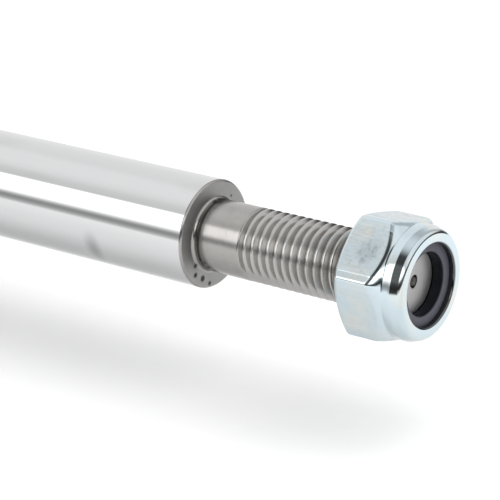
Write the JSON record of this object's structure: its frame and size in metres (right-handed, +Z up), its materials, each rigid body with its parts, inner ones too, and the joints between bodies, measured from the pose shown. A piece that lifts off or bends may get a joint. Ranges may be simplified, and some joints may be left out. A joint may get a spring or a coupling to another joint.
{
  "type": "shock absorber",
  "caption": "Gas-pressurised telescopic shock absorber with a rubber-bushed lower eye, a chromed rod and a threaded upper stud with a lock nut.",
  "frame": {"origin": "centre of the lower eye's bore", "axes": "+X along the rod, from the lower eye to the stud; +Y along the lower eye's bore; +Z up as the part lies on a table"},
  "size_m": [0.5975, 0.051, 0.051],
  "materials": {
    "hard_chrome": "ground and polished hard chrome, stud left machined",
    "zinc_plate": "bright zinc plate with a pale blue tint",
    "nylon": "dark grey nylon",
    "black_coat": "satin black powder coat",
    "eye_rubber": "moulded black rubber",
    "seal_rubber": "smooth black nitrile rubber",
    "bumper": "dull brown cellular polyurethane",
    "bearing_tape": "bronze-filled bearing plastic",
    "copper_seal": "soft copper",
    "aluminium": "turned aluminium",
    "sintered_iron": "sintered iron, steam treated",
    "spring_steel": "blued spring steel",
    "bare_steel": "bare machined steel"
  },
  "bodies": {
    "cylinder": {"cylinder_tube": "black_coat", "base_cap": "black_coat", "lower_eye": "black_coat", "eye_rubber": "eye_rubber", "gas_fill_screw": "zinc_plate", "gas_fill_seal": "copper_seal", "rod_guide": "aluminium", "guide_bush": "bearing_tape", "guide_o_ring": "seal_rubber", "rod_seal": "seal_rubber", "seal_spring": "spring_steel", "dust_wiper": "seal_rubber", "seal_backing_washer": "bare_steel", "guide_retaining_ring": "spring_steel", "top_cap": "black_coat"},
    "eye_sleeve": {"bush_sleeve": "zinc_plate"},
    "gas_divider": {"floating_piston": "aluminium", "floating_piston_band": "bearing_tape", "floating_piston_o_ring": "seal_rubber"},
    "piston_seal": {"piston_band": "bearing_tape", "piston_o_ring": "seal_rubber"},
    "rod": {"piston_rod": "hard_chrome", "piston": "sintered_iron", "compression_stop_plate": "bare_steel", "rebound_stop_plate": "bare_steel", "top_out_plate": "bare_steel", "top_out_bumper": "bumper", "piston_nut": "bare_steel", "compression_shim_1": "spring_steel", "compression_shim_2": "spring_steel", "compression_shim_3": "spring_steel", "compression_shim_4": "spring_steel", "compression_shim_5": "spring_steel", "rebound_shim_1": "spring_steel", "rebound_shim_2": "spring_steel", "rebound_shim_3": "spring_steel", "rebound_shim_4": "spring_steel", "rebound_shim_5": "spring_steel"},
    "nut_carrier": {"nylon_insert": "nylon"},
    "nut": {"lock_nut": "zinc_plate"}
  },
  "joints": [
    {"name": "rod_stroke", "type": "slide", "parent": "cylinder", "child": "piston_seal", "axis": [-1, 0, 0], "range_m": [0, 0.15], "stiffness_N_per_m": 1053, "springref_m": -0.241},
    {"name": "rod_turn", "type": "hinge", "parent": "piston_seal", "child": "rod", "pos_m": [0.3, 0, 0], "axis": [1, 0, 0], "continuous": true},
    {"name": "floating_piston_travel", "type": "slide", "parent": "cylinder", "child": "gas_divider", "axis": [-1, 0, 0], "range_m": [0, 0.02297]},
    {"name": "eye_twist", "type": "hinge", "parent": "cylinder", "child": "eye_sleeve", "pos_m": [0, 0, 0], "axis": [0, 1, 0], "range_deg": [-15, 15], "stiffness_Nm_per_rad": 30},
    {"name": "nut_feed", "type": "slide", "parent": "rod", "child": "nut_carrier", "axis": [1, 0, 0], "range_m": [0, 0.00829]},
    {"name": "nut_turn", "type": "hinge", "parent": "nut_carrier", "child": "nut", "pos_m": [0.57, 0, 0], "axis": [1, 0, 0], "range_deg": [0, 1990]}
  ],
  "couplings": [
    {"joint": "floating_piston_travel", "follows": "rod_stroke", "ratio": 0.15312},
    {"joint": "nut_turn", "follows": "nut_feed", "rad_per_m": 4188.8}
  ]
}
